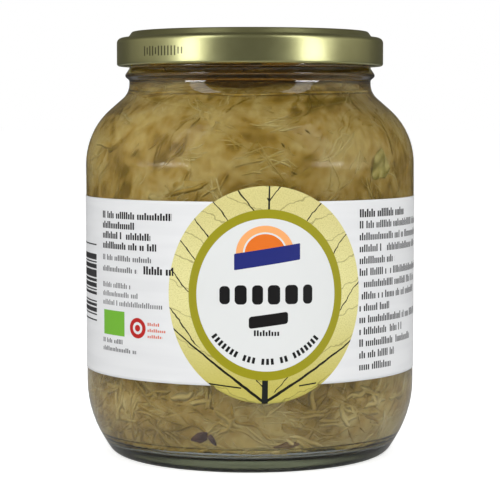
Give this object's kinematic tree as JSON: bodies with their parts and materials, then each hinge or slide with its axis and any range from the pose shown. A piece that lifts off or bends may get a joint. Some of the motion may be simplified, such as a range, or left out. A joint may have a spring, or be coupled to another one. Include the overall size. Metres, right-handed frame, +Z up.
{
  "type": "jar of sauerkraut",
  "caption": "Round glass jar of shredded cabbage in brine, with a wide neck, a gold twist-off cap and a wrap-round paper label with an oval badge.",
  "frame": {"origin": "middle of the base, on the surface that the jar stands on", "axes": "+Z up along the jar's axis; the label's badge faces -Y, turned 5.5 degrees towards +X"},
  "size_m": [0.0972, 0.0972, 0.1243],
  "materials": {
    "clear_glass": "clear flint glass, smooth",
    "gold_tinplate": "gold lacquer over tinplate, satin gloss",
    "label_paper": "white paper, half gloss, printed with plain fields of colour",
    "cabbage_in_brine": "wet pale khaki cabbage shreds in clear yellow-brown brine"
  },
  "bodies": {
    "root": {"jar": "clear_glass", "lid": "gold_tinplate", "label": "label_paper", "sauerkraut": "cabbage_in_brine"}
  },
  "joints": []
}
